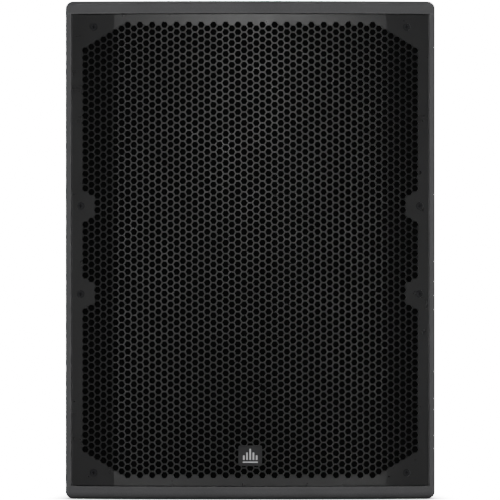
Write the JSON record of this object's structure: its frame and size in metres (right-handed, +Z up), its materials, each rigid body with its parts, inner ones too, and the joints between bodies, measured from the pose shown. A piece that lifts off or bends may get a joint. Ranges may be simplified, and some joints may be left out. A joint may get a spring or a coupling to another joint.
{
  "type": "pa speaker cabinet",
  "caption": "Passive two-way PA loudspeaker: tapered black plywood box, bowed perforated steel grille, woofer and horn, side handles, pole socket.",
  "frame": {"origin": "centre of the cabinet's footprint, on the floor", "axes": "-Y is the front (grille side), +X is right as seen from the front, +Z is up"},
  "size_m": [0.508, 0.4569, 0.685],
  "materials": {
    "cabinet_ply": "birch plywood under black textured paint",
    "baffle_ply": "birch plywood, black stain",
    "port_plastic": "matt",
    "grille_steel": "satin black powder coat",
    "grille_foam": "open-cell acoustic foam",
    "black_screws": "black zinc",
    "badge_metal": "satin black",
    "badge_print": "light grey",
    "cast_frame": "cast, black",
    "gasket_fibre": "pressed fibre",
    "surround_cloth": "doped cloth",
    "cone_paper": "pressed paper",
    "coil_copper": "copper winding on a glass-fibre former",
    "spider_cloth": "resin-stiffened cloth",
    "plated_steel": "zinc plated",
    "ferrite": "ground ferrite",
    "terminal_plastic": "matt",
    "zinc_bolts": "black zinc",
    "horn_plastic": "moulded, fine grain",
    "diaphragm_metal": "thin formed sheet",
    "cover_plastic": "moulded",
    "circuit_board": "lacquered laminate",
    "inductor_wire": "enamelled copper",
    "capacitor_film": "wrapped film",
    "dish_metal": "pressed steel, black",
    "socket_plastic": "glass-filled plastic",
    "handle_metal": "pressed steel, black",
    "grip_rubber": "ribbed sleeve",
    "insert_steel": "zinc plated",
    "wadding_fibre": "polyester fleece",
    "cable_sheath": "soft sheath"
  },
  "bodies": {
    "cabinet": {"badge_emblem": "badge_print", "badge_plate": "badge_metal", "baffle": "baffle_ply", "bottom_panel": "cabinet_ply", "brace": "baffle_ply", "crossover_board": "circuit_board", "crossover_capacitors": "capacitor_film", "crossover_inductors": "inductor_wire", "crossover_standoffs": "plated_steel", "driver_bolts": "zinc_bolts", "driver_cable": "cable_sheath", "driver_cover": "cover_plastic", "driver_magnet": "ferrite", "driver_phase_plug": "terminal_plastic", "driver_suspension": "diaphragm_metal", "driver_top_plate": "plated_steel", "driver_yoke": "plated_steel", "grille": "grille_steel", "grille_batten_left": "baffle_ply", "grille_batten_right": "baffle_ply", "grille_foam": "grille_foam", "grille_screws": "black_screws", "handle_cup_left": "handle_metal", "handle_cup_right": "handle_metal", "handle_grip_left": "grip_rubber", "handle_grip_right": "grip_rubber", "handle_screws": "black_screws", "horn_flare": "horn_plastic", "horn_screws": "black_screws", "input_cable": "cable_sheath", "input_dish": "dish_metal", "input_screws": "black_screws", "mode_switch": "terminal_plastic", "pole_screws": "black_screws", "pole_socket": "handle_metal", "port_tube_left": "port_plastic", "port_tube_right": "port_plastic", "rear_panel": "cabinet_ply", "rigging_inserts": "insert_steel", "side_panel_left": "cabinet_ply", "side_panel_right": "cabinet_ply", "speaker_sockets": "socket_plastic", "top_panel": "cabinet_ply", "wadding": "wadding_fibre", "woofer_basket": "cast_frame", "woofer_bolts": "zinc_bolts", "woofer_cable": "cable_sheath", "woofer_gasket": "gasket_fibre", "woofer_magnet": "ferrite", "woofer_spider": "spider_cloth", "woofer_surround": "surround_cloth", "woofer_tee_nuts": "plated_steel", "woofer_terminals": "terminal_plastic", "woofer_top_plate": "plated_steel", "woofer_yoke": "plated_steel"},
    "woofer_cone_assembly": {"woofer_cone": "cone_paper", "woofer_dust_cap": "cone_paper", "woofer_coil": "coil_copper"},
    "hf_diaphragm": {"driver_diaphragm": "diaphragm_metal"},
    "mode_selector": {"mode_knob": "socket_plastic"}
  },
  "joints": [
    {"name": "cone_travel", "type": "slide", "parent": "cabinet", "child": "woofer_cone_assembly", "axis": [0, -1, 0], "range_m": [-0.006, 0.006], "stiffness_N_per_m": 5000, "deforming": ["woofer_surround", "woofer_spider"]},
    {"name": "diaphragm_travel", "type": "slide", "parent": "cabinet", "child": "hf_diaphragm", "axis": [0, -1, 0], "range_m": [-0.0003, 0.0003], "stiffness_N_per_m": 5000, "deforming": ["driver_suspension"]},
    {"name": "mode_turn", "type": "hinge", "parent": "cabinet", "child": "mode_selector", "pos_m": [0, 0.1805, 0.14], "axis": [0, 1, 0], "range_deg": [0, 90]}
  ]
}
